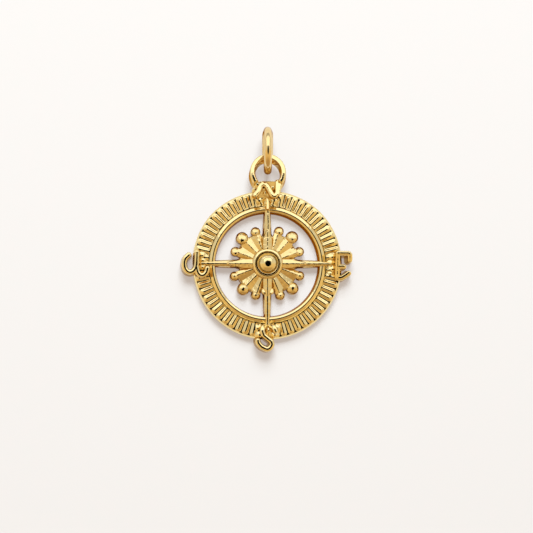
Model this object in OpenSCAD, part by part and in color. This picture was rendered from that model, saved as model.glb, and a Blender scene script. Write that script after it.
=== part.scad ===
// Compass pendant: one flat-backed casting (ribbed ring, compass rose, four letters, loop)
// and the jump ring that passes through its loop.
// North points along +Y, east along +X, the front looks up +Z, the back lies on z = 0.

/* [Ring] */
// Outer diameter of the ring at its back
ring_od = 16.3; // [15.8:0.1:17]
// Diameter of the ring's opening at its front edge
ring_id = 11.9; // [11.4:0.1:12.2]
// How far the opening closes in at the back, on each side
ring_draft = 0.27; // [0.05:0.01:0.35]
// Height of the smooth rim round the opening
rim_h = 1.55; // [1.4:0.05:1.8]
// Width of the smooth rim round the opening
rim_w = 0.47; // [0.35:0.01:0.6]
// Height of the groove floors between the ribs
groove_h = 1.0; // [0.8:0.05:1.1]
// Height of the outer lip
lip_h = 1.2; // [1.15:0.05:1.3]
// Width of the outer lip at its top
lip_w = 0.2; // [0.12:0.01:0.3]
// How far the outer wall leans in from the back edge to the lip
lip_draft = 0.2; // [0.05:0.01:0.25]
// Number of radial ribs
rib_count = 60; // [48:4:72]
// Width of one rib
rib_w = 0.36; // [0.25:0.01:0.4]
// Height of the rib tops
rib_h = 1.33; // [1.25:0.01:1.4]

/* [Compass rose] */
// Sideways place of the rose's centre
rose_x = -0.06; // [-0.2:0.01:0.2]
// Place of the rose's centre towards north
rose_y = 0.13; // [-0.2:0.01:0.2]
// Radius of the plate that carries the rays
plate_r = 3.45; // [3.2:0.05:3.55]
// Height of that plate
plate_h = 0.8; // [0.7:0.05:0.95]
// Radius of the notches in the plate's edge beside each needle
notch_r = 0.42; // [0.3:0.02:0.45]
// Height of a ray's ridge beside the hub
ray_h = 1.75; // [1.5:0.05:1.8]
// Height of a ray's ridge at its bead
ray_end_h = 1.25; // [1.1:0.05:1.4]
// How far a ray's sides drop below its ridge
ray_drop = 0.5; // [0.3:0.05:0.6]
// Radius of a bead on a corner ray
big_bead_r = 0.65; // [0.5:0.01:0.7]
// Radius of a bead on a side ray
small_bead_r = 0.5; // [0.4:0.01:0.55]

/* [Needles] */
// Width of a needle where it leaves the rose
needle_w = 1.06; // [0.8:0.02:1.2]
// Width of a needle where it meets the ring
needle_ring_w = 0.76; // [0.6:0.02:0.9]
// Width of the bar that runs over the ring
needle_bar_w = 0.42; // [0.3:0.02:0.5]
// Height of the needles' ridge
needle_h = 1.95; // [1.8:0.05:2.1]

/* [Hub] */
// Radius of the hub's rolled rim
hub_r = 1.72; // [1.5:0.02:1.8]
// Height of the crest of the rolled rim
hub_rim_h = 2.0; // [1.9:0.05:2.2]
// Radius of the step inside the rim
hub_step_r = 1.16; // [1:0.02:1.2]
// Radius of the dome
dome_r = 0.88; // [0.7:0.02:0.95]
// Height of the top of the dome
dome_h = 2.8; // [2.6:0.05:2.85]

/* [Letters] */
// Width of a letter's stroke at the front
stroke_w = 0.46; // [0.4:0.02:0.54]
// Width of a letter's stroke at the back
stroke_back_w = 0.8; // [0.6:0.02:0.9]
// Height of the front of east, south and west
letter_h = 2.3; // [2:0.05:2.4]
// Height of the front of north, which meets the loop
north_h = 2.6; // [2.4:0.05:2.65]

/* [Loop and jump ring] */
// Outer radius of the loop at its front edge
loop_r = 1.87; // [1.8:0.01:1.95]
// Radial thickness of the loop's wall at its front edge
loop_wall = 0.38; // [0.3:0.01:0.45]
// How much thicker the loop's wall grows to each side, from front to back
loop_draft = 0.13; // [0:0.01:0.2]
// Height of the loop's back edge
loop_back_h = 1.5; // [1.45:0.05:1.6]
// Height of the loop's front edge
loop_front_h = 2.65; // [2.6:0.05:2.75]
// Lean of the loop's hole away from upright
loop_lean = 17; // [10:1:18]
// Outer diameter of the jump ring
jump_od = 5.2; // [5.1:0.05:5.4]
// Diameter of the jump ring's wire
jump_wire = 0.86; // [0.7:0.02:0.88]
// Lean of the jump ring towards west
jump_lean = 3.5; // [0:0.5:5]
// Height of the block that joins the loop to the ring
neck_h = 1.9; // [1.6:0.05:2.2]

/* [Hidden] */
$fn = 64;
bite = 0.05;                   // how deep one form sits in its neighbour
ring_r = ring_od / 2;
opening_r = ring_id / 2;
edge = 0.1;                    // bevel on the rim's edges
hub_roll = 0.25;               // radius of the hub's rolled rim
rib_r0 = opening_r + rim_w;    // ribs start at the rim
rib_r1 = ring_r - lip_draft - lip_w;
loop_y = 9.88;                 // middle of the loop, between its two edges
loop_x = -0.06;
bead_foot = 0.8;               // height at which a bead's round top starts
notch_angle = 11;              // angle between a needle and the notch beside it
jump_y = 12.37;                // centre of the jump ring
jump_x = -0.1;

// Rays of the rose that end in a bead, clockwise from north:
// angle, distance of the bead from the centre, 1 for a corner ray
rays = [
    [20, 3.80, 0], [43, 4.00, 1], [69, 3.78, 0],
    [110, 3.80, 0], [134, 3.85, 1], [157.5, 3.72, 0],
    [200, 3.65, 0], [223.5, 3.80, 1], [249, 3.82, 0],
    [291, 3.72, 0], [315.5, 3.92, 1], [340, 3.73, 0]
];
// Needles: compass angle, reach from the rose's centre
needles = [[0, 7.05], [90, 7.2], [180, 6.95], [270, 7.45]];

// Letter strokes: x and y of the points along the crest of each pen line
north_strokes = [
    [[-1.45, 7.5], [-1.0, 8.0], [-0.9, 8.3], [-0.55, 8.56], [-0.2, 8.3], [0.15, 7.8],
     [0.43, 7.45], [0.75, 7.45], [1.0, 7.85], [1.0, 9.0]]
];
east_strokes = [
    [[7.58, 1.08], [8.85, 1.1], [8.9, 0.2]],
    [[7.58, 1.08], [7.58, -1.2], [7.85, -1.52], [8.2, -1.43], [8.84, -0.84]],
    [[7.58, -0.28], [8.34, -0.3]]
];
south_strokes = [
    [[0.79, -7.22], [0.6, -6.78], [0.0, -6.52], [-0.55, -6.75], [-0.67, -7.2], [-0.5, -7.7],
     [-0.06, -8.04], [0.31, -8.33], [0.43, -8.65], [0.2, -9.05], [-0.16, -9.2],
     [-0.75, -8.92], [-1.13, -8.45], [-1.13, -8.24]]
];
west_strokes = [
    [[-8.63, 1.0], [-9.0, 0.65], [-9.13, 0.1], [-9.0, -0.5], [-8.6, -0.8], [-8.12, -0.66],
     [-7.8, -0.2], [-7.75, 1.3]],
    [[-7.84, -0.36], [-7.55, -0.8], [-7.2, -1.0], [-6.85, -0.85], [-6.64, -0.4]]
];

// Turns its children from north clockwise to a compass angle
module bearing(a) { rotate(-a) children(); }

module ring_body() {
    rotate_extrude($fn = 120) polygon([
        [opening_r - ring_draft, 0],
        [opening_r, rim_h - edge],
        [opening_r + edge, rim_h],
        [rib_r0 - edge, rim_h],
        [rib_r0, rim_h - edge],
        [rib_r0, groove_h],
        [rib_r1, groove_h],
        [rib_r1, lip_h],
        [ring_r - lip_draft, lip_h],
        [ring_r, edge * 3],
        [ring_r - edge / 2, 0]
    ]);
}

module ribs() {
    pitch = 360 / rib_count;
    for (i = [0 : rib_count - 1])
        bearing(pitch * (i + 0.5))
            translate([-rib_w / 2, rib_r0 - bite, groove_h - bite])
                cube([rib_w, rib_r1 - rib_r0 + 2 * bite, rib_h - groove_h + bite]);
}

// A bar with a gabled top along +Y, from y = 0: half width, length, eave and ridge heights
module gable(half, length, eave, ridge) {
    rotate([90, 0, 0]) mirror([0, 0, 1]) linear_extrude(length)
        polygon([[-half, 0], [half, 0], [half, eave], [0, ridge], [-half, eave]]);
}

// A bead standing on the back plane, with a round top
module bead(r, top) {
    rotate_extrude($fn = 32) intersection() {
        union() {
            square([r, top - r]);
            translate([0, top - r]) circle(r);
        }
        square([r, top]);
    }
}

// A ray slopes down from the hub and ends in its bead
module ray(reach, corner) {
    bead_r = corner == 1 ? big_bead_r : small_bead_r;
    half = bead_r * 0.92;
    slope = atan2(ray_h - ray_end_h, reach);
    intersection() {
        translate([0, 0, ray_h]) rotate([-slope, 0, 0]) translate([0, 0, -ray_h])
            gable(half, reach, ray_h - ray_drop, ray_h);
        translate([-half * 2, 0, 0]) cube([half * 4, reach, ray_h * 2]);
    }
    translate([0, reach, 0]) bead(bead_r, bead_foot + bead_r);
}

// A needle tapers to the ring and runs over its face as a narrow bar
module needle(reach) {
    gap_r = opening_r - edge;
    wide = needle_w / 2;
    mid = needle_ring_w / 2;
    bar = needle_bar_w / 2;
    intersection() {
        linear_extrude(needle_h * 2) polygon([
            [-wide, 0], [wide, 0], [wide, plate_r], [mid, gap_r], [bar, gap_r + 0.15],
            [bar * 0.9, reach - 0.3], [0.05, reach], [-0.05, reach], [-bar * 0.9, reach - 0.3],
            [-bar, gap_r + 0.15], [-mid, gap_r], [-wide, plate_r]
        ]);
        gable(wide + bite, reach, groove_h, needle_h + 0.2);
        translate([-wide * 2, -bite, 0]) cube([wide * 4, reach + 1, needle_h]);
    }
}

module hub() {
    translate([0, 0, plate_h - bite])
        cylinder(r = hub_r, h = hub_rim_h - hub_roll - plate_h + bite);
    translate([0, 0, hub_rim_h - hub_roll]) rotate_extrude()
        translate([hub_r - hub_roll + 0.02, 0]) circle(hub_roll, $fn = 24);
    cylinder(r = hub_step_r, h = hub_rim_h + 0.05);
    intersection() {
        translate([0, 0, dome_h - 1]) sphere(1);
        cylinder(r = dome_r, h = 2 * dome_h);
    }
}

// The plate is notched on both sides of each needle
module plate() {
    difference() {
        cylinder(r = plate_r, h = plate_h);
        for (n = needles, side = [-1, 1])
            bearing(n[0] + side * notch_angle) translate([0, plate_r, -1]) cylinder(r = notch_r, h = 3);
    }
}

module rose() {
    plate();
    for (r = rays) bearing(r[0]) ray(r[1], r[2]);
    for (n = needles) bearing(n[0]) needle(n[1]);
    hub();
}

// One pen line: flat bars joined by round corners
module pen_line(points, w) {
    for (i = [0 : len(points) - 2]) {
        run = points[i + 1] - points[i];
        translate(points[i]) rotate(atan2(run.y, run.x)) translate([0, -w / 2]) square([norm(run), w]);
    }
    for (p = points) translate(p) circle(w / 2 + 0.02, $fn = 24);
}

// A letter narrows to the front in two steps
module letter(strokes, top) {
    linear_extrude(top * 0.6) for (s = strokes) pen_line(s, stroke_back_w);
    linear_extrude(top) for (s = strokes) pen_line(s, stroke_w);
}

// Low pads that carry the letters on the ring
module pads() {
    for (p = [[7.15, 0], [-7.1, 0], [0.05, -7.25], [-0.3, 7.3]])
        translate(p) cylinder(r = 0.95, h = rib_h + 0.07);
}

// The leaning loop is a drafted tube cut off level at its back and front edges
module loop_cone(r_back, r_front, extra) {
    mid_h = (loop_back_h + loop_front_h) / 2;
    depth = (loop_front_h - loop_back_h) / 2;
    grow = (r_front - r_back) / (2 * depth) * extra;
    translate([loop_x, loop_y, mid_h]) rotate([-loop_lean, 0, 0])
        translate([0, 0, -depth - extra])
            cylinder(r1 = r_back - grow, r2 = r_front + grow, h = 2 * (depth + extra));
}

module loop_hole() {
    inner = loop_r - loop_wall;
    loop_cone(inner - loop_draft, inner, 1.6);
}

module loop_wall_body() {
    intersection() {
        loop_cone(loop_r + loop_draft, loop_r, 0.9);
        translate([-5, 5, loop_back_h]) cube([10, 10, loop_front_h - loop_back_h]);
    }
}

// Block behind the north letter that joins the loop to the ring and closes the hole's foot
module neck() {
    translate([-1.35, 7.2, 0]) cube([2.6, 1.7, neck_h]);
}

module compass_casting() {
    color("gold") union() {
        ring_body();
        ribs();
        pads();
        translate([rose_x, rose_y, 0]) rose();
        letter(east_strokes, letter_h);
        letter(south_strokes, letter_h);
        letter(west_strokes, letter_h);
        difference() {
            loop_wall_body();
            loop_hole();
        }
        neck();
        letter(north_strokes, north_h);
    }
}

module jump_ring() {
    r = (jump_od - jump_wire) / 2;
    color("khaki") translate([jump_x, jump_y, jump_od / 2]) rotate([0, -jump_lean, 0])
        rotate([0, 90, 0]) rotate_extrude($fn = 96) translate([r, 0]) circle(jump_wire / 2, $fn = 32);
}

compass_casting();
jump_ring();
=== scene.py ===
import math

import bpy
import numpy as np
from mathutils import Matrix, Vector


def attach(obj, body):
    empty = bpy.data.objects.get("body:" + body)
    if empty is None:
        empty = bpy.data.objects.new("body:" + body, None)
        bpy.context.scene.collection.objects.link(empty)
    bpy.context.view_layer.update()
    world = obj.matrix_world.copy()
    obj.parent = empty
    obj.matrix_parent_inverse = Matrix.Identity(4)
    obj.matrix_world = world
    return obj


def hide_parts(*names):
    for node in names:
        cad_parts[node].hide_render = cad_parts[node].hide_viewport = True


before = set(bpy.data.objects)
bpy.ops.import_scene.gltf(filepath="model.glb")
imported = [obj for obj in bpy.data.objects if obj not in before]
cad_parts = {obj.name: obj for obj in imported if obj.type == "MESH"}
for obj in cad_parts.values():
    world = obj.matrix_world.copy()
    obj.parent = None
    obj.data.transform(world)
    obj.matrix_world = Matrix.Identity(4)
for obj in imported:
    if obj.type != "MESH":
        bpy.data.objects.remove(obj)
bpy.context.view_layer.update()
print("frame loaded")

# Lengths are in millimetres: north is +y, east is +x and the back of the pendant lies on z = 0.
# Angles in the dictionaries are degrees, and bearings go clockwise from north.
mm = 0.001
chance = np.random.default_rng(12)


# goes from 0 to 1 with level ends while x goes from low to high: three x squared less two x cubed
def ease(x, low, high):
    x = np.clip((x - low) / (high - low), 0, 1)
    return x * x * (3 - 2 * x)


# the value a share of the way from start to end: start plus the share of their difference
def between(start, end, share):
    return start + (end - start) * share


# the larger of two values with a rounded meeting: half the sum of both and of the root of their
# squared difference plus a small squared blend width
def softMax(a, b, width):
    return (a + b + np.sqrt((a - b) ** 2 + width ** 2)) / 2


# how far a ridge has dropped at a distance from its crest line: the cube root of the cubed distance
# and a cubed size, less that size, so that the crest is nearly level and then turns down quickly
def ridgeDrop(away, size):
    return np.cbrt(np.abs(away) ** 3 + size ** 3) - size


# x and y on a compass: distance times the sine and the cosine of the bearing
def compass(distance, bearing):
    return distance * np.sin(bearing), distance * np.cos(bearing)


# smallest turn between two bearings in radians: their difference brought into -pi to pi
def turnBetween(a, b):
    return (a - b + math.pi) % (2 * math.pi) - math.pi


# even angles once round: step number times a full turn over the number of steps
def onceRound(steps):
    return np.linspace(0, 2 * math.pi, steps, endpoint=False)


# even values over each span in turn, where a span is its first value, its last and their number
def evenRows(spans):
    return np.concatenate([np.linspace(*span) for span in spans])


# closed loops of points stacked row on row: quads join neighbouring rows, and unless the last row
# joins the first again, a fan round one middle point closes each end; the shell is turned so that
# its signed volume (the sum of a dot b cross c over its triangles) is positive
def shell(rows, endless=False, tips=None):
    count, across = rows.shape[:2]
    points = rows.reshape(-1, 3)
    row, spot = np.meshgrid(np.arange(count if endless else count - 1), np.arange(across), indexing="ij")
    row, nextRow, nextSpot = row * across, (row + 1) % count * across, (spot + 1) % across
    quads = np.stack([row + spot, row + nextSpot, nextRow + nextSpot, nextRow + spot], -1).reshape(-1, 4)
    fans = np.zeros((0, 3), int)
    if not endless:
        ends = rows[[0, -1]].mean(1) if tips is None else np.array(tips, float)
        spot = np.arange(across)
        nextSpot = (spot + 1) % across
        lastRow = (count - 1) * across
        firstFan = np.stack([nextSpot, spot, np.full(across, len(points))], -1)
        lastFan = np.stack([lastRow + spot, lastRow + nextSpot, np.full(across, len(points) + 1)], -1)
        fans = np.concatenate([firstFan, lastFan])
        points = np.concatenate([points, ends])
    corners = np.concatenate([quads[:, [0, 1, 2]], quads[:, [0, 2, 3]], fans])
    a, b, c = (points[corners[:, n]] for n in range(3))
    if np.einsum("ij,ij->i", a, np.cross(b, c)).sum() < 0:
        quads, fans = quads[:, ::-1], fans[:, ::-1]
    return points, quads, fans


# joins shells into one mesh, in metres, that rides on the part; edges turned by more than the sharp
# angle stay crisp
def makePiece(name, shells, material, sharp, node="compass_casting"):
    points, faces, start = [], [], 0
    for corners, quads, fans in shells:
        points.append(corners)
        faces += (quads + start).tolist() + (fans + start).tolist()
        start += len(corners)
    mesh = bpy.data.meshes.new(name)
    mesh.from_pydata(np.concatenate(points) * mm, [], faces)
    mesh.shade_smooth()
    mesh.set_sharp_from_angle(angle=math.radians(sharp))
    mesh.materials.append(material)
    piece = bpy.data.objects.new(name, mesh)
    bpy.context.scene.collection.objects.link(piece)
    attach(piece, "root")
    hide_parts(node)
    print(name, len(faces), "faces")


# a straight-sided path rounded off: it is cut into even steps, then each point becomes the mean of
# its neighbours weighted by a bell curve that ends at three spreads, with both ends kept
def roundedPath(corners, step, spread):
    corners = np.array(corners, float)
    along = np.concatenate([[0], np.cumsum(np.linalg.norm(np.diff(corners, axis=0), axis=1))])
    spots = np.linspace(0, along[-1], int(along[-1] / step) + 2)
    path = np.stack([np.interp(spots, along, corners[:, n]) for n in range(corners.shape[1])], -1)
    reach = min(int(3 * spread / step), len(path) - 1)
    bell = np.exp(-0.5 * (np.arange(-reach, reach + 1) * step / spread) ** 2)
    bell /= bell.sum()
    longer = np.pad(path, ((reach, reach), (0, 0)), mode="reflect", reflect_type="odd")
    return np.stack([np.convolve(longer[:, n], bell, "valid") for n in range(path.shape[1])], -1)


# a profile of distances and heights turned once round an upright axis: x and y are the centre plus
# the distance times the cosine and the sine of the angle
def turned(profile, centre, steps):
    profile = np.array(profile, float)
    angle = onceRound(steps)
    x = centre[0] + profile[:, :1] * np.cos(angle)
    y = centre[1] + profile[:, :1] * np.sin(angle)
    z = np.broadcast_to(profile[:, 1:2], x.shape)
    tips = [[*centre, profile[0, 1]], [*centre, profile[-1, 1]]]
    return shell(np.stack([x, y, z], -1), tips=tips)


bossForm = {
    "steps": 48, "topTurns": (88, 0, 20),
    # shares of the radius and of the side's height, then the foot's shares of the radius and heights
    "side": (0.995, 0.5), "foot": [(0.98, 0.08), (0.94, 0.02), (0.9, 0.0)],
}


# a round boss: its top is half a squashed ball, the radius times the cosine of an angle out and the
# rise times its sine up, and below that the side goes straight down; a tilt lowers its north side by
# the distance north of the centre times the share of the height
def boss(centre, radius, rise, top, tilt=0.0):
    turn = np.radians(np.linspace(*bossForm["topTurns"]))
    profile = list(zip(radius * np.cos(turn), top - rise + rise * np.sin(turn)))
    profile += [(radius * bossForm["side"][0], (top - rise) * bossForm["side"][1])]
    profile += [(radius * share, height) for share, height in bossForm["foot"]]
    points, quads, fans = turned(profile, centre, bossForm["steps"])
    points[:, 2] -= tilt * (points[:, 1] - centre[1]) * points[:, 2] / top
    return points, quads, fans


# each colour channel of a hex code from sRGB to linear: up to 0.04045 it is divided by 12.92, and
# above that it is raised by 0.055, divided by 1.055 and taken to the power 2.4
def linear(code):
    values = [int(code[n:n + 2], 16) / 255 for n in (1, 3, 5)]
    return [v / 12.92 if v <= 0.04045 else ((v + 0.055) / 1.055) ** 2.4 for v in values] + [1]


# adds one node, sets its inputs and properties, and links what feeds it
def addNode(tree, kind, inputs=None, **settings):
    node = tree.nodes.new(kind)
    for key, value in settings.items():
        setattr(node, key, value)
    for key, value in (inputs or {}).items():
        if isinstance(value, bpy.types.NodeSocket):
            tree.links.new(value, node.inputs[key])
        else:
            node.inputs[key].default_value = value
    return node


# noise from 0 to 1 whose lumps are about as large as the size
def addNoise(tree, place, size, detail):
    inputs = {"Vector": place, "Scale": 1 / (size * mm), "Detail": detail}
    return addNode(tree, "ShaderNodeTexNoise", inputs).outputs["Fac"]


# the first colour where the share is 0, the second where it is 1, and an even mix between
def addMix(tree, share, first, second):
    inputs = {"Fac": share, "Color1": first, "Color2": second}
    return addNode(tree, "ShaderNodeMixRGB", inputs).outputs["Color"]


# carries a value from one span to another: evenly, or with level ends if smooth
def addSpan(tree, value, source, target=(0, 1), smooth=False):
    inputs = {"Value": value, "From Min": source[0], "From Max": source[1],
              "To Min": target[0], "To Max": target[1]}
    bend = "SMOOTHSTEP" if smooth else "LINEAR"
    return addNode(tree, "ShaderNodeMapRange", inputs, interpolation_type=bend).outputs["Result"]


# distance of a direction or place from a line straight up through the centre, in units of the
# oval's two half widths: the root of the sum of both squared shares
def addDistance(tree, place, centre=(0, 0), halves=(1, 1)):
    moved = addNode(tree, "ShaderNodeVectorMath", {0: place, 1: (*centre, 0)}, operation="SUBTRACT")
    scale = (1 / halves[0], 1 / halves[1], 0)
    level = addNode(tree, "ShaderNodeVectorMath", {0: moved.outputs[0], 1: scale}, operation="MULTIPLY")
    return addNode(tree, "ShaderNodeVectorMath", {0: level.outputs[0]}, operation="LENGTH").outputs["Value"]


# the normal of a surface raised by a height times a distance
def addRelief(tree, height, strength, distance, below=None):
    inputs = {"Height": height, "Strength": strength, "Distance": distance * mm}
    if below is not None:
        inputs["Normal"] = below
    return addNode(tree, "ShaderNodeBump", inputs).outputs["Normal"]


# a new material and its empty node tree
def newMaterial(name):
    material = bpy.data.materials.new(name)
    material.use_nodes = True
    material.node_tree.nodes.clear()
    return material, material.node_tree


# Gold-plated cast brass, tumbled and polished: mirror bright, but the casting's skin is never quite even, so
# that reflections waver a little. Steep walls near the middle get a warmer, darker painted shade that stands
# in for the shadow and gold-on-gold reflections in the hollows, and their grazing reflections are tinted
# darker too: a face is as unshaded as it is flat, and fully unshaded farther from the middle than
# paintedShadeReach.
def platedGold(name, look):
    material, tree = newMaterial(name)
    texture = addNode(tree, "ShaderNodeTexCoord")
    place = texture.outputs["Object"]
    waves = addNoise(tree, place, look["waveSize"], detail=2.0)
    grain = addNoise(tree, place, look["grainSize"], detail=3.0)
    relief = addRelief(tree, waves, look["waveStrength"], look["waveHeight"])
    relief = addRelief(tree, grain, look["grainStrength"], look["grainHeight"], relief)
    facing = addNode(tree, "ShaderNodeSeparateXYZ", {"Vector": texture.outputs["Normal"]}).outputs["Z"]
    flat = addSpan(tree, facing, look["steepToFlat"], smooth=True)
    away = addDistance(tree, place)
    far = addNode(tree, "ShaderNodeMath", {0: away, 1: look["paintedShadeReach"] * mm}, operation="GREATER_THAN")
    unshaded = addNode(tree, "ShaderNodeMath", {0: flat, 1: far.outputs[0]}, operation="MAXIMUM").outputs[0]
    tone = addMix(tree, waves, linear(look["warm"]), linear(look["light"]))
    # painted shade: the steeper a face near the middle, the more it takes a darker, warmer base colour and a
    # darker grazing tint
    tone = addMix(tree, unshaded, linear(look["paintedShade"]), tone)
    edge = addMix(tree, unshaded, linear(look["edge"]), linear("#FFFFFF"))
    rough = addSpan(tree, grain, look["grainSpan"], look["rough"])
    shader = addNode(tree, "ShaderNodeBsdfPrincipled", {
        "Base Color": tone, "Metallic": 1.0, "Specular Tint": edge, "Roughness": rough, "Normal": relief})
    addNode(tree, "ShaderNodeOutputMaterial", {"Surface": shader.outputs["BSDF"]})
    return material


castLook = {
    # colours: two that drift over the skin, then the painted shade of steep walls and its tint at a grazing
    # view
    "warm": "#ECD290", "light": "#F6E4AE", "paintedShade": "#BE8C52", "edge": "#C09058",
    # the reach here is that of the ring's opening; a surface goes from steep to flat while its
    # normal's upward part grows over steepToFlat
    "paintedShadeReach": 6.05, "steepToFlat": (0.1, 0.42),
    "waveSize": 0.55, "waveStrength": 1.0, "waveHeight": 0.035,
    "grainSize": 0.12, "grainStrength": 1.0, "grainHeight": 0.002,
    "grainSpan": (0.3, 0.7), "rough": (0.06, 0.11),
}
castGold = platedGold("goldPlatedCastBrass", castLook)

# the rose and the needles: a deeper gold with a darker painted shade on steep walls, whose reflections waver
# more
roseLook = {**castLook, "warm": "#E2C684", "light": "#EFDAA4", "paintedShade": "#A88248",
            "waveSize": 0.42, "waveHeight": 0.06}
roseGold = platedGold("goldPlatedCastRose", roseLook)

# the letters and the hub: a paler painted shade on all their steep sides, wherever they stand
letterLook = {**castLook, "paintedShade": "#DDBF80", "edge": "#E2CB9C", "paintedShadeReach": 99, "waveHeight": 0.03}
letterGold = platedGold("goldPlatedCastLetters", letterLook)

# the loop: a middle-toned painted shade on all its steep sides, and the calmest skin of the casting
loopLook = {**castLook, "paintedShade": "#CFA25E", "edge": "#CDA462", "paintedShadeReach": 99, "waveHeight": 0.02}
loopGold = platedGold("goldPlatedCastLoop", loopLook)

# the neck: a paler gold painted brighter to stand in for light on the mound between the north letter's
# strokes, with no painted shade anywhere
neckLook = {**castLook, "light": "#F5E9BA", "paintedShadeReach": 0, "waveHeight": 0.03}
neckGold = platedGold("goldPlatedCastNeck", neckLook)

# the jump ring is drawn wire: smoother than the casting, with long undisturbed reflections, and a light
# painted shade on its steeper faces
wireLook = {**castLook, "warm": "#E9CB8E", "light": "#F2DAA4", "paintedShade": "#C49A5E", "edge": "#B98C50",
            "paintedShadeReach": 99, "waveSize": 1.2, "waveStrength": 0.6, "waveHeight": 0.008,
            "grainSize": 0.15, "grainHeight": 0.001, "rough": (0.06, 0.09)}
wireGold = platedGold("goldPlatedDrawnWire", wireLook)
print("gold mixed")


ring = {
    "ribs": 60, "steps": 1440, "shift": (-0.055, 0.03),
    # inner wall: radius at the back, radius and height at the top, rows as shares of the way up, how
    # far the back edge is drawn in, and a last row beyond the top
    "backInner": 5.60, "wallTop": (5.75, 1.455), "wallShares": [0.07, 0.3, 0.6, 0.9, 1.0],
    "backEdge": 0.03, "wallBeyond": (0.03, 0.015),
    # smooth inner rim: radii between which its crest lies, height, rounding and how far that turns,
    # then the slope's rows and its foot
    "crest": (5.95, 6.04), "crestHeight": 1.56, "crestRound": 0.05, "crestTurns": (125, 90, 55, 4),
    "rimShares": (0.15, 0.97, 6), "rimFoot": 6.38, "rimFootHeight": 1.385,
    # ribbed face: where it is up from the rim's foot, height of the ribs, depth of the grooves, how
    # flat valleys and crests are, where the grooves fade in, and where the ribs roll down to the lip
    "faceStart": 6.4, "ribTop": 1.47, "grooveDepth": 0.15, "flats": 0.97,
    "endsRise": (6.44, 6.56), "rollStart": 7.62, "rollEnd": 7.93,
    # rows of the face: up to the end of the rise, over the ribs, and down the roll
    "riseRows": (6.64, 13), "ribRows": (6.74, 7.54, 7), "rollRows": 12,
    # outer lip: radius, end of its bevel as radius and height, rows as shares of the bevel, outer
    # radius, and the side's rows as insets from that and heights
    "lip": 7.93, "bevelEnd": (8.08, 1.14), "bevelShares": [0.06, 0.2, 0.5, 0.8, 1.0],
    "outer": 8.13, "side": [(0.035, 1.08), (0.02, 0.7), (0.01, 0.15), (0.0, 0.06), (0.03, 0.0)],
    # how many degrees the ribs have drifted at some bearings, and how far single ribs differ: by
    # slip as a share of the pitch, by the radius of their ends and by depth
    "driftAt": [0, 20, 45, 75, 130, 160, 200, 225, 270, 310, 345, 360],
    "drift": [-0.3, -0.7, -0.9, -0.8, -1.9, -1.9, 0.2, 0.8, 0.7, 0.4, 0.2, -0.3],
    "ribDiffers": (0.02, 0.03, 0.012),
    # how much farther out the edge lies at some bearings, and the radii over which that grows
    "edgeAt": [0, 45, 90, 135, 180, 225, 250, 310, 345, 360],
    "edgeMore": [0.02, 0.15, 0.1, 0.08, 0.06, 0.03, 0.0, 0.13, 0.02, 0.02],
    "edgeGrows": (7.0, 8.1),
    # smooth lumps that fill the grooves round the letters: x, y, radius of the lump's dome, top
    "lumps": [
        (7.1, 0.85, 0.45, 1.56), (7.0, 0.2, 0.4, 1.52), (7.15, -0.45, 0.45, 1.55), (6.9, -0.95, 0.4, 1.52),
        (-7.1, 1.0, 0.4, 1.56), (-7.05, 0.45, 0.4, 1.54), (-7.1, -0.3, 0.4, 1.58), (-6.8, -0.85, 0.35, 1.5),
        (-1.05, -6.95, 0.45, 1.56), (-0.85, -7.6, 0.5, 1.6), (0.15, -7.15, 0.35, 1.62),
        (1.05, -6.9, 0.45, 1.56), (0.8, -7.65, 0.4, 1.55),
        (-0.92, 7.02, 0.5, 1.58), (-1.4, 7.4, 0.4, 1.55), (0.77, 7.02, 0.5, 1.56), (1.25, 7.35, 0.4, 1.55),
        (-0.5, 7.35, 0.35, 1.56), (0.4, 7.4, 0.35, 1.54), (-0.62, 6.62, 0.3, 1.5), (0.55, 6.6, 0.3, 1.5)],
    "lumpBlend": 0.05,
}


# height of the ribbed face: from valley to crest and back it follows a straight ramp less a sine
# wave, so that both the valleys and the crests are nearly level lines; the grooves fade in at the
# rim and run out level under the lip, where the ribs come down; domes that fall with the square of
# the distance over twice their radius rise through it all
def ribbedFace(r, bearing):
    drift = np.interp(bearing, np.radians(ring["driftAt"]), np.radians(ring["drift"]))
    place = (bearing - drift) / (2 * math.pi / ring["ribs"])
    number = np.floor(place).astype(int) % ring["ribs"]
    slip, size, deep = (chance.normal(0, amount, ring["ribs"])[number] for amount in ring["ribDiffers"])
    along = place - np.floor(place)
    along = along + slip * np.sin(np.pi * along)
    climb = np.abs(2 * along - 1)
    ramp = climb - ring["flats"] * np.sin(2 * np.pi * climb) / (2 * np.pi)
    depth = ring["grooveDepth"] + deep
    fall = ring["grooveDepth"] * ease(r, ring["rollStart"] + size, ring["rollEnd"])
    top = between(ring["rimFootHeight"], ring["ribTop"], ease(r, ring["rimFoot"], ring["faceStart"])) - fall
    depth = np.maximum(depth * ease(r, ring["endsRise"][0] + size, ring["endsRise"][1] + size) - fall, 0)
    height = top - depth * (1 - ramp)
    x, y = compass(r, bearing)
    for lumpX, lumpY, radius, peak in ring["lumps"]:
        away = np.hypot(x - lumpX, y - lumpY)
        height = softMax(height, peak - away ** 2 / (2 * radius), ring["lumpBlend"])
    return height


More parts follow.
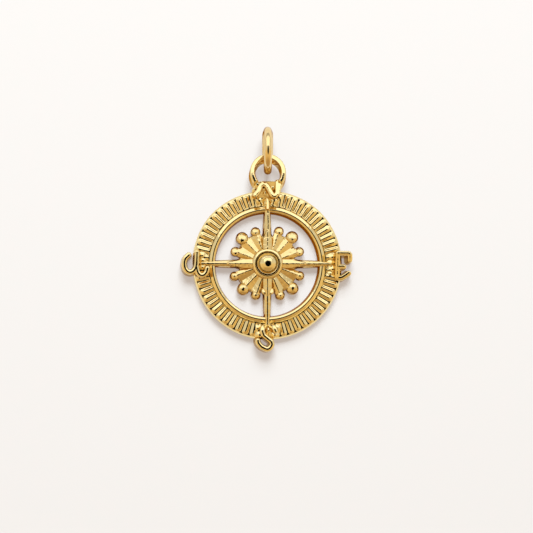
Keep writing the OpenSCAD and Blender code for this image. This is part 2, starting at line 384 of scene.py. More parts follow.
# the part of the ring's profile inside the ribbed face, as radii and heights: up the slanting wall,
# round both edges of the crest and down the rim, each row of the wall and the rim a share of the way
def innerProfile():
    topR, topZ = ring["wallTop"]
    beyondR, beyondZ = ring["wallBeyond"]
    share = np.array(ring["wallShares"])
    wallR = [ring["backInner"] + ring["backEdge"], *between(ring["backInner"], topR, share), topR + beyondR]
    wallZ = [0.0, *between(0.0, topZ, share), topZ + beyondZ]
    first, middle, last, count = ring["crestTurns"]
    inTurn = np.radians(np.linspace(first, middle, count))
    outTurn = np.radians(np.linspace(middle, last, count))
    roll = ring["crestRound"]
    crestR = np.concatenate([ring["crest"][0] + roll * np.cos(inTurn),
                             ring["crest"][1] + roll * np.cos(outTurn)])
    crestZ = ring["crestHeight"] - roll + roll * np.sin(np.concatenate([inTurn, outTurn]))
    share = np.linspace(*ring["rimShares"])
    rimR = between(crestR[-1], ring["rimFoot"], share)
    rimZ = between(crestZ[-1], ring["rimFootHeight"], share)
    return np.concatenate([wallR, crestR, rimR]), np.concatenate([wallZ, crestZ, rimZ])


# the part of the ring's profile outside the ribbed face: down the lip's bevel, each row a share of
# the way, and down the side
def outerProfile():
    share = np.array(ring["bevelShares"])
    inset, sideZ = np.array(ring["side"]).T
    lipR = between(ring["lip"], ring["bevelEnd"][0], share)
    lipZ = between(ring["ribTop"] - ring["grooveDepth"], ring["bevelEnd"][1], share)
    return np.concatenate([lipR, ring["outer"] - inset]), np.concatenate([lipZ, sideZ])


# the ring: its profile goes once round, the ribbed face with a height of its own at every bearing,
# and toward the edge each radius grows by an eased share of what that bearing adds
def makeRing():
    bearing = onceRound(ring["steps"])
    faceR = evenRows([(ring["rimFoot"], *ring["riseRows"]), ring["ribRows"],
                      (ring["rollStart"], ring["lip"], ring["rollRows"])])
    faceR, faceBearing = np.meshgrid(faceR, bearing)
    faceZ = ribbedFace(faceR, faceBearing)
    profiles = (*innerProfile(), *outerProfile())
    innerR, innerZ, outerR, outerZ = (np.tile(row, (ring["steps"], 1)) for row in profiles)
    r = np.concatenate([innerR, faceR, outerR], 1)
    z = np.concatenate([innerZ, faceZ, outerZ], 1)
    more = np.interp(np.degrees(bearing), ring["edgeAt"], ring["edgeMore"])[:, None]
    x, y = compass(r + more * ease(r, *ring["edgeGrows"]), bearing[:, None])
    rows = np.stack([x + ring["shift"][0], y + ring["shift"][1], z], -1)
    makePiece("ribbedRing", [shell(rows, endless=True)], castGold, sharp=70)


makeRing()


rose = {
    "centre": (-0.06, 0.13), "steps": 1080,
    # rays: bearing, distance of the bead, whether it is a big corner ray; the needles leave between
    "rays": [(20, 3.80, False), (43, 4.00, True), (69, 3.78, False), (110, 3.80, False), (134, 3.85, True),
             (157.5, 3.72, False), (200, 3.65, False), (223.5, 3.80, True), (249, 3.82, False),
             (291, 3.72, False), (315.5, 3.92, True), (340, 3.73, False)],
    # outline: radius of the plate, notches on both sides of each needle with their depth, place and
    # width, half widths of the rays' bars, the widest turn in radians that a bar counts for, the
    # least sine that divides its half width, and the blend between bars
    "plateRadius": 3.5, "notchDepth": 0.45, "notchTurn": 11.5, "notchWidth": 3.2,
    "bigHalf": 0.57, "smallHalf": 0.43, "barTurn": 1, "leastSine": 0.01, "barBlend": 0.12,
    # ridges: heights at both ends of the run, slope of the sides, size of the crest, widest turn in
    # radians that a ridge counts for, a distance for places beyond it, and how far single rays
    # differ in slope and in the waves of their crest
    "ridgeStart": 1.6, "ridgeEnd": 1.38, "ridgeRun": (1.7, 3.9), "slope": 0.52, "ridgeSize": 0.08,
    "rayTurn": 1.2, "farAway": 9, "slopeDiffers": 0.12, "bend": 0.02, "bendWave": 2.4,
    # the ridges dip under the hub between two distances; no face lies lower than the floor
    "hubDip": 0.6, "hubDipEnds": (1.45, 1.66), "floor": 0.5, "middleHeight": 1.4,
    # rows as shares of the reach, the rolled edge and how near its end comes to upright, the wall's
    # rows as shares of its height, how far it widens below, and the back's edge
    "faceShares": [(0.3, 0.85, 22), (0.87, 1, 10)], "edgeRoll": 0.2, "edgeSteep": 0.98,
    "wallShares": [0.93, 0.7, 0.4, 0.12, 0.04], "draft": 0.05, "backDraft": 0.02,
    # beads: radius, height of the squashed ball, top; then the two lobes where the south needle
    # leaves: x, y and the same
    "bigBead": (0.69, 0.46, 1.62), "smallBead": (0.53, 0.38, 1.47), "northTilt": 0.26, "southRise": 0.12,
    "forkLobes": [(-0.34, -2.88, 0.38, 0.16, 1.7), (0.28, -2.88, 0.38, 0.16, 1.7)],
}
cardinals = np.radians([0, 90, 180, 270])


# reach of the plate in each direction: the farthest of its rim, notched beside the needles, and of
# each ray's bar, whose side lies at its half width over the sine of the turn from the ray
def roseReach(bearing):
    nearest = np.min(np.abs([turnBetween(bearing, c) for c in cardinals]), 0)
    dip = np.exp(-((np.degrees(nearest) - rose["notchTurn"]) / rose["notchWidth"]) ** 2)
    reach = rose["plateRadius"] - rose["notchDepth"] * dip
    for degrees, distance, big in rose["rays"]:
        turn = np.abs(turnBetween(bearing, math.radians(degrees)))
        half = rose["bigHalf"] if big else rose["smallHalf"]
        side = np.minimum(half / np.maximum(np.sin(turn), rose["leastSine"]), distance)
        reach = softMax(reach, np.where(turn < rose["barTurn"], side, 0), rose["barBlend"])
    return reach


# height of the rays: over each ray the ridge falls from the hub to the bead, and both sides drop
# with the distance from it, each a little unlike the next; the highest ray wins, so that sharp
# valleys stand between them
def roseFace(rho, bearing):
    start, end = rose["ridgeRun"]
    ridge = between(rose["ridgeStart"], rose["ridgeEnd"], (rho - start) / (end - start))
    ridge = ridge - rose["hubDip"] * (1 - ease(rho, *rose["hubDipEnds"]))
    height = np.full(rho.shape, rose["floor"])
    for centre in np.concatenate([np.radians([ray[0] for ray in rose["rays"]]), cardinals]):
        turn = turnBetween(bearing, centre)
        away = np.where(np.abs(turn) < rose["rayTurn"], np.abs(rho * np.sin(turn)), rose["farAway"])
        left, right, lift = chance.normal(0, 1, 3)
        slope = rose["slope"] * (1 + rose["slopeDiffers"] * np.where(turn < 0, left, right))
        bend = rose["bend"] * lift * np.sin((rho - start) * rose["bendWave"])
        height = np.maximum(height, ridge + bend - slope * ridgeDrop(away, rose["ridgeSize"]))
    return height


# the rose's plate: rows at shares of the reach carry the face, whose edge rolls down like a quarter
# circle, by the roll times one less the root of one less a squared share; the wall goes down from
# there and widens evenly
def makeRose():
    cx, cy = rose["centre"]
    bearing = onceRound(rose["steps"])
    reach = roseReach(bearing)
    rho = evenRows(rose["faceShares"])[:, None] * reach
    topZ = roseFace(rho, bearing[None, :] + 0 * rho)
    fromEdge = np.clip(1 - (reach - rho) / rose["edgeRoll"], 0, 1)
    topZ = topZ - rose["edgeRoll"] * (1 - np.sqrt(1 - rose["edgeSteep"] * fromEdge ** 2))
    share = np.array(rose["wallShares"])[:, None]
    r = np.concatenate([rho, reach + rose["draft"] * (1 - share), reach[None] + rose["backDraft"]])
    z = np.concatenate([topZ, topZ[-1] * share, 0 * reach[None]])
    x, y = compass(r, bearing)
    tips = [[cx, cy, rose["middleHeight"]], [cx, cy, 0]]
    makePiece("roseRays", [shell(np.stack([x + cx, y + cy, z], -1), tips=tips)], roseGold, sharp=40)


# a bead at the end of each ray, those in the north tilted and those in the south rounder, and two
# lobes beside the south needle
def makeBeads():
    cx, cy = rose["centre"]
    beads = []
    for degrees, distance, big in rose["rays"]:
        radius, rise, top = rose["bigBead"] if big else rose["smallBead"]
        x, y = compass(distance, math.radians(degrees))
        tilt = rose["northTilt"] if y > 0 else 0.0
        rise += rose["southRise"] if y < 0 else 0.0
        beads.append(boss((cx + x, cy + y), radius, rise, top, tilt))
    for x, y, radius, rise, top in rose["forkLobes"]:
        beads.append(boss((x, y), radius, rise, top, rose["northTilt"]))
    makePiece("rayBeads", beads, roseGold, sharp=60)


makeRose()
makeBeads()


needles = {
    # bearing, reach, where the ridge lies sideways as a share of the half width, where the broad arm
    # that lies over the needle's inner end comes to a point, height of the ridge at both ends, and
    # height of the round bar over the ring, 0 where there is none
    "list": [(0, 7.35, 0.15, 3.9, 1.85, 1.62, 2.06), (90, 7.2, 0.0, 4.6, 1.78, 1.66, 0),
             (180, 6.95, 0.0, 3.7, 1.78, 1.66, 0), (270, 7.45, 0.0, 4.85, 1.78, 1.66, 0)],
    # length: where needles start and how many rows, then the tip's length, rows as shares of it, the
    # length of its rounding and the least square of its taper
    "start": 1.5, "rows": 80,
    "tip": 0.35, "tipShares": (0.9, 0.02, 12), "tipRound": 0.36, "leastSquare": 0.002,
    "widthPlaces": [1.2, 3.3, 4.6, 5.8, 6.1, 6.6, 7.4],
    "halfWidths": [0.46, 0.46, 0.42, 0.35, 0.24, 0.2, 0.15],
    # section: columns on top up to a share of the half width, then heights down the side and the
    # share at the back
    "columns": 35, "topEdge": 0.97, "sideHeights": [0.7, 0.3, 0.03, 0], "backEdge": 0.96,
    "ridgeRun": (1.7, 6.3), "slope": 0.6, "ridgeSize": 0.1, "sideStart": 0.72, "sideSlope": 2.2,
    # arm: half width at its start and its least share of that, its rise over the ridge, slope,
    # crest, where its side drops, and the half width below which it sinks out of sight
    "armHalf": 0.5, "armLeast": 0.001, "armStart": 2.6, "armRise": 0.08, "armSlope": 0.35, "armCrest": 0.05,
    "armSide": 0.92, "armSideSlope": 2.5, "armSinks": 0.12, "armSinkSlope": 4,
    # bar: where it takes over, its slope outward, half width and the slope of its sides
    "barRise": (5.8, 5.95), "barSlope": 0.25, "barHalf": 0.12, "barSideSlope": 4,
    "tipHeight": 1.4,
}


# one needle: at each place along it the section is a bar with two sloping facets that meet at a
# rounded ridge, steeper along both edges; the arm is a second, flatter and wider gable on top that
# narrows evenly to a point; a bar that falls outward takes over where the needle crosses the ring;
# the tip narrows by the root of one less the squared share of its rounding
def needleShell(degrees, reach, lean, point, ridgeStart, ridgeEnd, barHeight):
    cx, cy = rose["centre"]
    tipStart = reach - needles["tip"]
    along = np.concatenate([np.linspace(needles["start"], tipStart, needles["rows"]),
                            reach - needles["tip"] * np.linspace(*needles["tipShares"])])[:, None]
    half = np.interp(along, needles["widthPlaces"], needles["halfWidths"])
    armShare = (point - along) / (point - needles["armStart"])
    arm = needles["armHalf"] * np.clip(armShare, needles["armLeast"], 1)
    rounding = ((along - tipStart) / needles["tipRound"]).clip(0)
    taper = np.sqrt(np.clip(1 - rounding ** 2, needles["leastSquare"], 1))
    ridge = np.interp(along, needles["ridgeRun"], [ridgeStart, ridgeEnd])
    half = np.maximum(half, arm) * taper

    sides = len(needles["sideHeights"])
    edge = [1] * (sides - 1) + [needles["backEdge"]]
    columns = np.linspace(-needles["topEdge"], needles["topEdge"], needles["columns"])
    across = np.concatenate([-np.array(edge[::-1]), columns, edge]) * half
    facet = ridge - needles["slope"] * ridgeDrop(across - lean * half, needles["ridgeSize"])
    facet = facet - needles["sideSlope"] * np.clip(np.abs(across) - needles["sideStart"] * half, 0, None)
    over = ridge + needles["armRise"] - needles["armSlope"] * ridgeDrop(across, needles["armCrest"])
    over = over - needles["armSideSlope"] * np.clip(np.abs(across) - arm * needles["armSide"], 0, None)
    over = over - needles["armSinkSlope"] * np.clip(needles["armSinks"] - arm, 0, None)
    if barHeight:
        bar = barHeight - needles["barSlope"] * (along - needles["barRise"][1])
        bar = bar - needles["barSideSlope"] * np.clip(np.abs(across) - needles["barHalf"], 0, None)
        facet = between(facet, bar, ease(along, *needles["barRise"]))
    z = np.maximum(facet, over) - (ridge - needles["tipHeight"]) * (1 - taper)
    sideZ = np.array(needles["sideHeights"]) * np.minimum(z.min(1, keepdims=True), 1)
    z[:, -sides:] = sideZ
    z[:, :sides] = sideZ[:, ::-1]

    bearing = math.radians(degrees)
    x = cx + along * math.sin(bearing) + across * math.cos(bearing)
    y = cy + along * math.cos(bearing) - across * math.sin(bearing)
    return shell(np.stack([x, y, z], -1))


makePiece("needles", [needleShell(*needle) for needle in needles["list"]], roseGold, sharp=45)


hub = {
    "steps": 192,
    # cap: distances of its rows and radius of its curve
    "capRows": (0.02, 0.3, 8), "capRadius": 2.2,
    # dome and shoulder: radii between which they lie, height at the first, slopes at both
    "dome": (0.3, 0.65, 2.77, 0.13, 0.75), "shoulder": (0.67, 0.87, 2.56, 0.35, 1.1),
    "slopeShares": (0.1, 1, 8),
    # the step that climbs outward and the groove beside it, as distances and heights
    "step": [(0.88, 2.25), (0.89, 2.08), (0.905, 2.06), (0.93, 2.06), (1.0, 2.09), (1.12, 2.15),
             (1.14, 2.155), (1.155, 2.13)],
    "groove": [(1.17, 1.9), (1.19, 1.6), (1.205, 1.5), (1.215, 1.5), (1.225, 1.6), (1.24, 1.85),
               (1.255, 1.93)],
    # rim: turns of its roll, radius of its crest, reach inward and outward, heights, and the side
    "rimTurns": (-25, 90, 20), "rimCrest": 1.32, "rimIn": 0.1, "rimOuter": 1.71,
    "rimTop": 2.02, "rimFoot": 1.6, "sideHeights": [1.2, 0.3],
}


# profile of the hub from its middle outward: a cap that sags by the squared distance over twice its
# radius, a dome and a shoulder whose slopes both grow evenly, a step that climbs outward, a deep
# narrow groove, and a rim that rolls down as a quarter of an oval
def hubProfile():
    cap = np.linspace(*hub["capRows"])
    sag = cap ** 2 / (2 * hub["capRadius"])
    points = list(zip(cap, hub["dome"][2] - sag))
    share = np.linspace(*hub["slopeShares"])
    for (inner, outer, top, low, high), drop in ((hub["dome"], sag[-1]), (hub["shoulder"], 0)):
        away = (outer - inner) * share
        points += zip(inner + away, top - drop - low * away - (high - low) * away * share / 2)
    points += hub["step"] + hub["groove"]
    turn = np.radians(np.linspace(*hub["rimTurns"]))
    outward, inward = np.sin(turn).clip(0), np.sin(turn).clip(None, 0)
    rimR = between(hub["rimCrest"], hub["rimOuter"], outward) + hub["rimIn"] * inward
    points += zip(rimR, between(hub["rimFoot"], hub["rimTop"], np.cos(turn)))
    return points + [(hub["rimOuter"], height) for height in hub["sideHeights"]]


makePiece("hub", [turned(hubProfile(), rose["centre"], hub["steps"])], letterGold, sharp=60)


# the stroke that all four letters are drawn with
pen = {
    # half widths at the back and under the rounded top, that top's height and the power of its curve
    "backHalf": 0.40, "topHalf": 0.29, "roundHeight": 0.32, "power": 3.0,
    # step along the line and how far its corners are rounded, then the turns of its ends
    "step": 0.04, "spread": 0.11, "endTurns": (6, 86, 14),
    # rows as shares of the height: up the side, then over the top from a share with rising density
    "sideShares": [0, 0.015, 0.2, 0.45, 0.65, 0.78], "topShare": 0.14, "topPower": 1.5, "topRows": 10,
    "backEdge": 0.95,
}


# half width of a stroke at each height: even taper from the back, then a power curve to the crest
def strokeHalf(z, top):
    shoulder = top - pen["roundHeight"]
    up = np.clip((z - shoulder) / pen["roundHeight"], 0, 1)
    bent = pen["topHalf"] * (1 - up ** pen["power"]) ** (1 / pen["power"])
    return np.where(z < shoulder, between(pen["backHalf"], pen["topHalf"], z / shoulder), bent)


# the height at which a stroke is only as wide as asked: the taper and the power curve turned round
def strokeTop(half, top):
    shoulder = top - pen["roundHeight"]
    low = shoulder * (pen["backHalf"] - half) / (pen["backHalf"] - pen["topHalf"])
    share = np.clip(half / pen["topHalf"], 0, 1)
    high = shoulder + pen["roundHeight"] * (1 - share ** pen["power"]) ** (1 / pen["power"])
    return np.where(half > pen["topHalf"], low, high)


# a pen line: the section is carried along the rounded path, and past each end every level closes
# in a half circle, its half width there the root of the squared half width less the squared overrun;
# a dip lowers the top by a bell curve, and a fall lowers it by the distance north times a share
def penLine(corners, letter):
    path = roundedPath(corners, pen["step"], pen["spread"])
    heading = np.gradient(path, axis=0)
    heading /= np.linalg.norm(heading, axis=1, keepdims=True)
    over = pen["backHalf"] * np.sin(np.radians(np.linspace(*pen["endTurns"])))
    ends = len(over)
    spot, way = (np.concatenate([np.repeat(v[:1], ends, 0), v, np.repeat(v[-1:], ends, 0)])
                 for v in (path, heading))
    overrun = np.concatenate([-over[::-1], np.zeros(len(path)), over])[:, None]
    spot = spot + way * overrun
    top = letter["top"] + 0 * overrun
    if "dip" in letter:
        dipX, dipY, radius, depth = letter["dip"]
        away = np.hypot(spot[:, :1] - dipX, spot[:, 1:] - dipY)
        top = top - depth * np.exp(-(away / radius) ** 2)
    overTop = np.cos(np.linspace(0, math.pi / 2, pen["topRows"])) ** pen["topPower"]
    share = np.concatenate([pen["sideShares"], 1 - pen["topShare"] * overTop])
    z = strokeTop(np.abs(overrun), top) * share
    half = np.sqrt(np.clip(strokeHalf(z, top) ** 2 - overrun ** 2, 0, None))
    half[:, 0] *= pen["backEdge"]
    offset = np.concatenate([half, -half[:, -2::-1]], 1)
    z = np.concatenate([z, z[:, -2::-1]], 1)
    x = spot[:, :1] - way[:, 1:] * offset
    y = spot[:, 1:] + way[:, :1] * offset
    fall, fallFrom = letter.get("fall", (0.0, 0.0))
    z = z - fall * (y - fallFrom) * z / top
    return shell(np.stack([x, y, z], -1))


# Each letter has its height and the corners of its pen lines. A fall is how much the top goes down
# toward the north, and from which y.
letterNorth = {
    "top": 2.55, "fall": (0.17, 8.2),
    "lines": [[(-1.45, 7.55), (-1.05, 8.0), (-0.92, 8.5), (-0.55, 8.85), (-0.15, 8.55), (0.15, 8.0),
               (0.43, 7.5), (0.75, 7.45), (1.0, 7.85), (1.0, 9.0)],
              [(0.98, 7.7), (1.14, 8.4), (1.36, 8.95)]],
}
letterEast = {
    "top": 2.3, "fall": (-0.24, 0.2),
    "lines": [[(7.58, 1.22), (8.82, 1.22), (8.9, 1.1), (8.9, 0.5)],
              [(7.58, 1.22), (7.57, -1.46), (8.05, -1.44), (8.35, -1.26), (8.81, -0.92)],
              [(7.58, -0.2), (8.26, -0.22)]],
}
letterSouth = {
    # it sinks where the needle's tip crosses it: x, y, radius, depth
    "top": 2.3, "dip": (-0.03, -6.6, 0.42, 0.7),
    "lines": [[(0.79, -7.22), (0.6, -6.78), (0.0, -6.52), (-0.55, -6.75), (-0.67, -7.2), (-0.5, -7.7),
               (-0.06, -8.04), (0.31, -8.33), (0.43, -8.65), (0.2, -9.05), (-0.16, -9.2), (-0.75, -8.92),
               (-1.13, -8.45), (-1.13, -8.24)]],
}
letterWest = {
    "top": 2.3,
    "lines": [[(-8.63, 1.02), (-9.02, 0.65), (-9.15, 0.1), (-9.05, -0.42), (-8.82, -0.76), (-8.5, -0.88),
               (-8.15, -0.76), (-7.88, -0.42), (-7.78, 0.1), (-7.75, 1.3)],
              [(-7.82, -0.25), (-7.72, -0.75), (-7.5, -1.1), (-7.2, -1.22), (-6.9, -1.1), (-6.68, -0.8),
               (-6.6, -0.42)]],
}
for name, letter in (("letterNorth", letterNorth), ("letterEast", letterEast),
                     ("letterSouth", letterSouth), ("letterWest", letterWest)):
    makePiece(name, [penLine(line, letter) for line in letter["lines"]], letterGold, sharp=60)


loop = {
    "place": (-0.06, 9.88), "lean": 17, "steps": 160,
    "backHeight": 1.5, "backOuter": 2.05, "backInner": 1.34,
    "frontHeight": 2.65, "frontOuter": 1.95, "frontInner": 1.39,
    # front edges: height and width of their rounding, the power of its curve and its rows
    "roll": 0.2, "rollWide": 0.24, "rollPower": 0.75, "rollRows": 7,
    # back edges: their rounding, and where the wall's rows start above the back
    "backRoll": 0.06, "wallStart": 0.08, "wallShares": (0.1, 0.9, 5),
    # how far the front falls toward the north, and how softly that starts at the middle
    "frontTilt": 15, "tiltBlend": 0.8,
    # foot: the stretch round south that is lower, the stretch where that fades, and its share
    "footTurn": 38, "footFade": 16, "footDrop": 0.75,
}


# the loop: a section with rounded corners goes once round, its middle sliding north with height by
# the tangent of the lean, its walls drafted from the front edge to the back edge; the front falls
# north of the middle by the tangent of its tilt, and the foot is lower by its share of the height
def makeLoop():
    low, high, roll, backRoll = loop["backHeight"], loop["frontHeight"], loop["roll"], loop["backRoll"]
    corner = np.radians(np.linspace(0, 90, loop["rollRows"]))
    sine, cosine = np.sin(corner), np.cos(corner)
    rollUp, rollIn = sine ** loop["rollPower"], cosine ** loop["rollPower"]
    wallZ = between(low + loop["wallStart"], high - roll, np.linspace(*loop["wallShares"]))
    z = [wallZ, high - roll + roll * rollUp, high - roll + roll * rollIn, wallZ[::-1],
         low + backRoll - backRoll * sine, low + backRoll - backRoll * cosine]
    share = [(part - low) / (high - low) for part in z]
    outer = [between(loop["backOuter"], loop["frontOuter"], part) for part in share]
    inner = [between(loop["backInner"], loop["frontInner"], part) for part in share]
    r = np.concatenate([outer[0], outer[1] - loop["rollWide"] * (1 - rollIn),
                        inner[2] + loop["rollWide"] * (1 - rollUp), inner[3],
                        inner[4] + backRoll * (1 - cosine), outer[5] - backRoll * (1 - sine)])
    z = np.concatenate(z)
    angle = onceRound(loop["steps"])[:, None]
    lean, frontTilt = math.radians(loop["lean"]), math.radians(loop["frontTilt"])
    x = loop["place"][0] + r * np.cos(angle)
    y = loop["place"][1] + r * np.sin(angle) / math.cos(lean) + (z - (low + high) / 2) * math.tan(lean)
    northward = softMax(r * np.sin(angle), 0, loop["tiltBlend"]) - loop["tiltBlend"] / 2
    z = z - (z - low) / (high - low) * northward * math.tan(frontTilt)
    south = math.radians(270)
    fromSouth = np.degrees(np.abs(turnBetween(angle, south)))
    sunk = loop["footDrop"] * (1 - ease(fromSouth, loop["footTurn"], loop["footTurn"] + loop["footFade"]))
    z = between(low, z, 1 - sunk)
    makePiece("loop", [shell(np.stack([x, y, z], -1), endless=True)], loopGold, sharp=60)


makeLoop()


neck = {
    "centre": (-0.05, 8.2), "halfX": 1.3, "halfY": 0.9, "top": 1.9, "steps": 72,
    # outline's power, rounding of the top's edge, rise of the top's middle, and its climb northward
    "power": 4, "roll": 0.07, "rollRows": 8, "dome": 0.02, "climb": 0.38,
    # rows of the top as shares inward from the edge, and those of the side as shares inward and
    # heights, after a first one at half the top
    "topInsets": [0.85, 0.7, 0.5, 0.3, 0.16, 0.1], "foot": [(0, 0.03), (0.03, 0)],
    # lumps: x, y, radius, height of the squashed ball, top; and how far their tops climb northward
    "lumps": [(-0.5, 8.25, 0.36, 0.26, 2.1), (-0.3, 7.75, 0.32, 0.22, 1.9), (0.5, 8.3, 0.34, 0.26, 2.14),
              (-1.15, 8.55, 0.42, 0.2, 2.28), (-1.35, 8.05, 0.42, 0.2, 1.95), (0.05, 7.66, 0.34, 0.16, 1.85)],
    "lumpTilt": -0.3,
}


# the neck's block: rows grow outward from the middle on a power-curve outline, the top domed by a
# rise that falls with the square of the distance and then rolling over, and the side goes straight
# down to the back; the top climbs toward the north
def neckBlock():
    angle = onceRound(neck["steps"])
    cosine, sine = np.cos(angle), np.sin(angle)
    outline = (np.abs(cosine) ** neck["power"] + np.abs(sine) ** neck["power"]) ** (-1 / neck["power"])
    turn = np.radians(np.linspace(0, 90, neck["rollRows"]))
    rollInset = (1 - np.sin(turn)) * neck["roll"] / min(neck["halfX"], neck["halfY"])
    topScale = 1 - np.concatenate([neck["topInsets"], rollInset])
    level = np.full(len(neck["topInsets"]), neck["top"])
    topZ = np.concatenate([level, neck["top"] - neck["roll"] + neck["roll"] * np.cos(turn)])
    topZ += neck["dome"] * (1 - topScale ** 2)
    footInset, footZ = np.array(neck["foot"]).T
    scale = np.concatenate([topScale, [1], 1 - footInset])[:, None]
    z = np.concatenate([topZ, [neck["top"] / 2], footZ])[:, None]
    x = neck["centre"][0] + neck["halfX"] * scale * outline * cosine
    y = neck["centre"][1] + neck["halfY"] * scale * outline * sine
    z = z * (1 + neck["climb"] * (y - neck["centre"][1]) / neck["top"])
    return shell(np.stack([x, y, z], -1))


neckLumps = [boss((x, y), radius, rise, top, neck["lumpTilt"]) for x, y, radius, rise, top in neck["lumps"]]
makePiece("loopNeck", [neckBlock()] + neckLumps, neckGold, sharp=60)


jumpRing = {
    "centre": (-0.1, 12.37, 2.6), "outer": 5.2, "wire": 0.86, "lean": 3.5, "steps": 192, "around": 40,
    # how much wider the section is where the low stretch lies, and how far that reaches and fades
    "wide": 1.38, "wideAt": 300, "wideFade": (25, 70),
}


# the wire's round section goes once round a circle that stands on edge and leans west; along the
# low back stretch the section is drawn out sideways by a smooth bump of the turn
def makeJumpRing():
    turn = onceRound(jumpRing["steps"])[:, None]
    section = onceRound(jumpRing["around"])[None, :]
    half = jumpRing["wire"] / 2
    fromWide = np.degrees(np.abs(turnBetween(turn, math.radians(jumpRing["wideAt"]))))
    wide = between(jumpRing["wide"], 1, ease(fromWide, *jumpRing["wideFade"]))
    distance = jumpRing["outer"] / 2 - half + half * np.cos(section)
    side = half * np.sin(section) * wide
    along, up = distance * np.cos(turn), distance * np.sin(turn)
    lean = math.radians(jumpRing["lean"])
    x = jumpRing["centre"][0] + side * math.cos(lean) - up * math.sin(lean)
    y = jumpRing["centre"][1] + along + 0 * side
    z = jumpRing["centre"][2] + side * math.sin(lean) + up * math.cos(lean)
    makePiece("jumpRingWire", [shell(np.stack([x, y, z], -1), endless=True)], wireGold, sharp=50,
              node="jump_ring")


makeJumpRing()


# the colour's channels are linear, and its red drifts a little with the fibres
card = {"halfSize": 1500, "fibreSize": 1.5, "red": (0.104, 0.110), "green": 0.1173, "blue": 0.1237,
        "glow": "#FFEEE2", "glowStrength": 0.465}


# matt white card: a dim base that takes the shadows and an even, faintly warm glow
def whiteCard():
    material, tree = newMaterial("mattWhiteCard")
    place = addNode(tree, "ShaderNodeTexCoord").outputs["Object"]
    red = addSpan(tree, addNoise(tree, place, card["fibreSize"], detail=2.0), (0, 1), card["red"])
    channels = {"Red": red, "Green": card["green"], "Blue": card["blue"]}
    colour = addNode(tree, "ShaderNodeCombineColor", channels).outputs["Color"]
    shader = addNode(tree, "ShaderNodeBsdfPrincipled", {
        "Base Color": colour, "Roughness": 0.9, "Specular IOR Level": 0.2,
        "Emission Color": linear(card["glow"]), "Emission Strength": card["glowStrength"]})
    addNode(tree, "ShaderNodeOutputMaterial", {"Surface": shader.outputs["BSDF"]})
    return material


# the floor: one square of card round the origin
def makeFloor():
    half = card["halfSize"]
    corners = np.array([(-half, -half, 0), (half, -half, 0), (half, half, 0), (-half, half, 0)]) * mm
    mesh = bpy.data.meshes.new("floorCard")
    mesh.from_pydata(corners, [], [(0, 1, 2, 3)])
    mesh.materials.append(whiteCard())
    floor = bpy.data.objects.new("floorCard", mesh)
    bpy.context.scene.collection.objects.link(floor)


makeFloor()

view = {"place": (-11.4, -8.5, 163.0), "aim": (-0.055, -0.1, 0.0), "frameWidth": 58.63, "sensor": 36.0,
        "nearest": 1.0}


# the camera over the pendant: its lens is the sensor's width times the distance over the width of
# what it sees there, and its right side stays square to north
def makeCamera():
    camera = bpy.data.cameras.new("camera")
    camera.sensor_width = view["sensor"]
    place, aim = Vector(view["place"]), Vector(view["aim"])
    camera.lens = view["sensor"] * (place - aim).length / view["frameWidth"]
    camera.clip_start = view["nearest"] * mm
    holder = bpy.data.objects.new("camera", camera)
    holder.location = place * mm
    back = (place - aim).normalized()
    right = Vector((0, 1, 0)).cross(back).normalized()
    up = back.cross(right)
    holder.rotation_euler = Matrix((right, up, back)).transposed().to_euler()
    bpy.context.scene.collection.objects.link(holder)
    bpy.context.scene.camera = holder


makeCamera()

tent = {
    # brightness and tint by how far a direction points north, from south (0) to north (1)
    "places": [0.0, 0.1, 0.25, 0.42, 0.5, 0.56, 0.68, 0.85, 1.0],
    "levels": [0.62, 0.60, 0.88, 0.92, 0.90, 0.85, 0.79, 0.73, 0.56],
    "tints": ["#F2CA92", "#F4CC92", "#FFDEA2", "#FFE2AE", "#FFEFCC", "#FFF9EE", "#FFFDF8", "#FFFEFC",
              "#FFFEFC"],
    # the dark opening round the camera: its middle and its two half widths as direction cosines, and
    # the width of its faded edge as a share of those
    "openMiddle": (0.06, -0.06), "openHalves": (0.37, 0.36), "openEdge": 0.25,
    # what a straight view past the card shows
    "plain": "#FAF6F2",
}


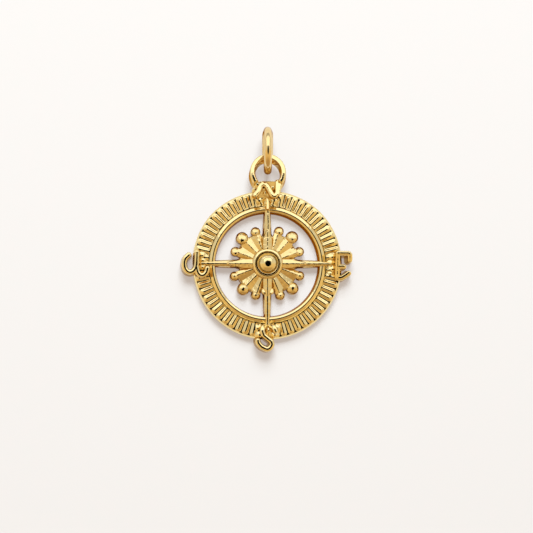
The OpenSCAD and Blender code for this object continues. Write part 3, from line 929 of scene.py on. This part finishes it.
# the light tent: brightness follows how far each direction points north, with a dark oval opening
# overhead whose edge fades; straight views of it are plain
def makeTent():
    world = bpy.data.worlds.new("lightTent")
    bpy.context.scene.world = world
    world.use_nodes = True
    tree = world.node_tree
    tree.nodes.clear()
    way = addNode(tree, "ShaderNodeTexCoord").outputs["Generated"]
    north = addNode(tree, "ShaderNodeSeparateXYZ", {"Vector": way}).outputs["Y"]
    ramp = addNode(tree, "ShaderNodeValToRGB", {"Fac": addSpan(tree, north, (-1, 1))})
    stops = ramp.color_ramp.elements
    while len(stops) < len(tent["places"]):
        stops.new(0.5)
    for stop, place, level, tint in zip(stops, tent["places"], tent["levels"], tent["tints"]):
        stop.position = place
        stop.color = [level * v for v in linear(tint)[:3]] + [1]
    away = addDistance(tree, way, tent["openMiddle"], tent["openHalves"])
    fade = tent["openEdge"] / 2
    lit = addSpan(tree, away, (1 - fade, 1 + fade), smooth=True)
    inside = addNode(tree, "ShaderNodeBackground", {"Color": ramp.outputs["Color"], "Strength": lit})
    plain = addNode(tree, "ShaderNodeBackground", {"Color": linear(tent["plain"]), "Strength": 1.0})
    straight = addNode(tree, "ShaderNodeLightPath").outputs["Is Camera Ray"]
    both = addNode(tree, "ShaderNodeMixShader", {0: straight, 1: inside.outputs[0], 2: plain.outputs[0]})
    addNode(tree, "ShaderNodeOutputWorld", {"Surface": both.outputs[0]})


makeTent()

# lamps: name, degrees that it leans north of overhead, distance, two sides, watts, and whether it
# shows in the gold; the softbox does, and of the other two, which light the card, the lower one
# draws the longer shadows
lamps = [("softbox", 45, 450, (800, 430), 0.80, True),
         ("keyLamp", 27, 450, (200, 120), 6.4, False),
         ("lowLamp", 44, 450, (200, 120), 3.0, False)]


# a lamp: a flat rectangle of light that faces the pendant, the distance times the sine of its lean
# to the north and times the cosine up
def makeLamp(name, lean, away, sides, watts, shows):
    lamp = bpy.data.lights.new(name, "AREA")
    lamp.shape = "RECTANGLE"
    lamp.size, lamp.size_y = (side * mm for side in sides)
    lamp.energy = watts
    lean = math.radians(lean)
    holder = bpy.data.objects.new(name, lamp)
    holder.location = Vector((0, math.sin(lean), math.cos(lean))) * away * mm
    holder.rotation_euler = (-lean, 0, 0)
    holder.visible_glossy = shows
    bpy.context.scene.collection.objects.link(holder)


for lamp in lamps:
    makeLamp(*lamp)
bpy.context.scene.view_settings.view_transform = "Standard"
print("floor, light and camera set")
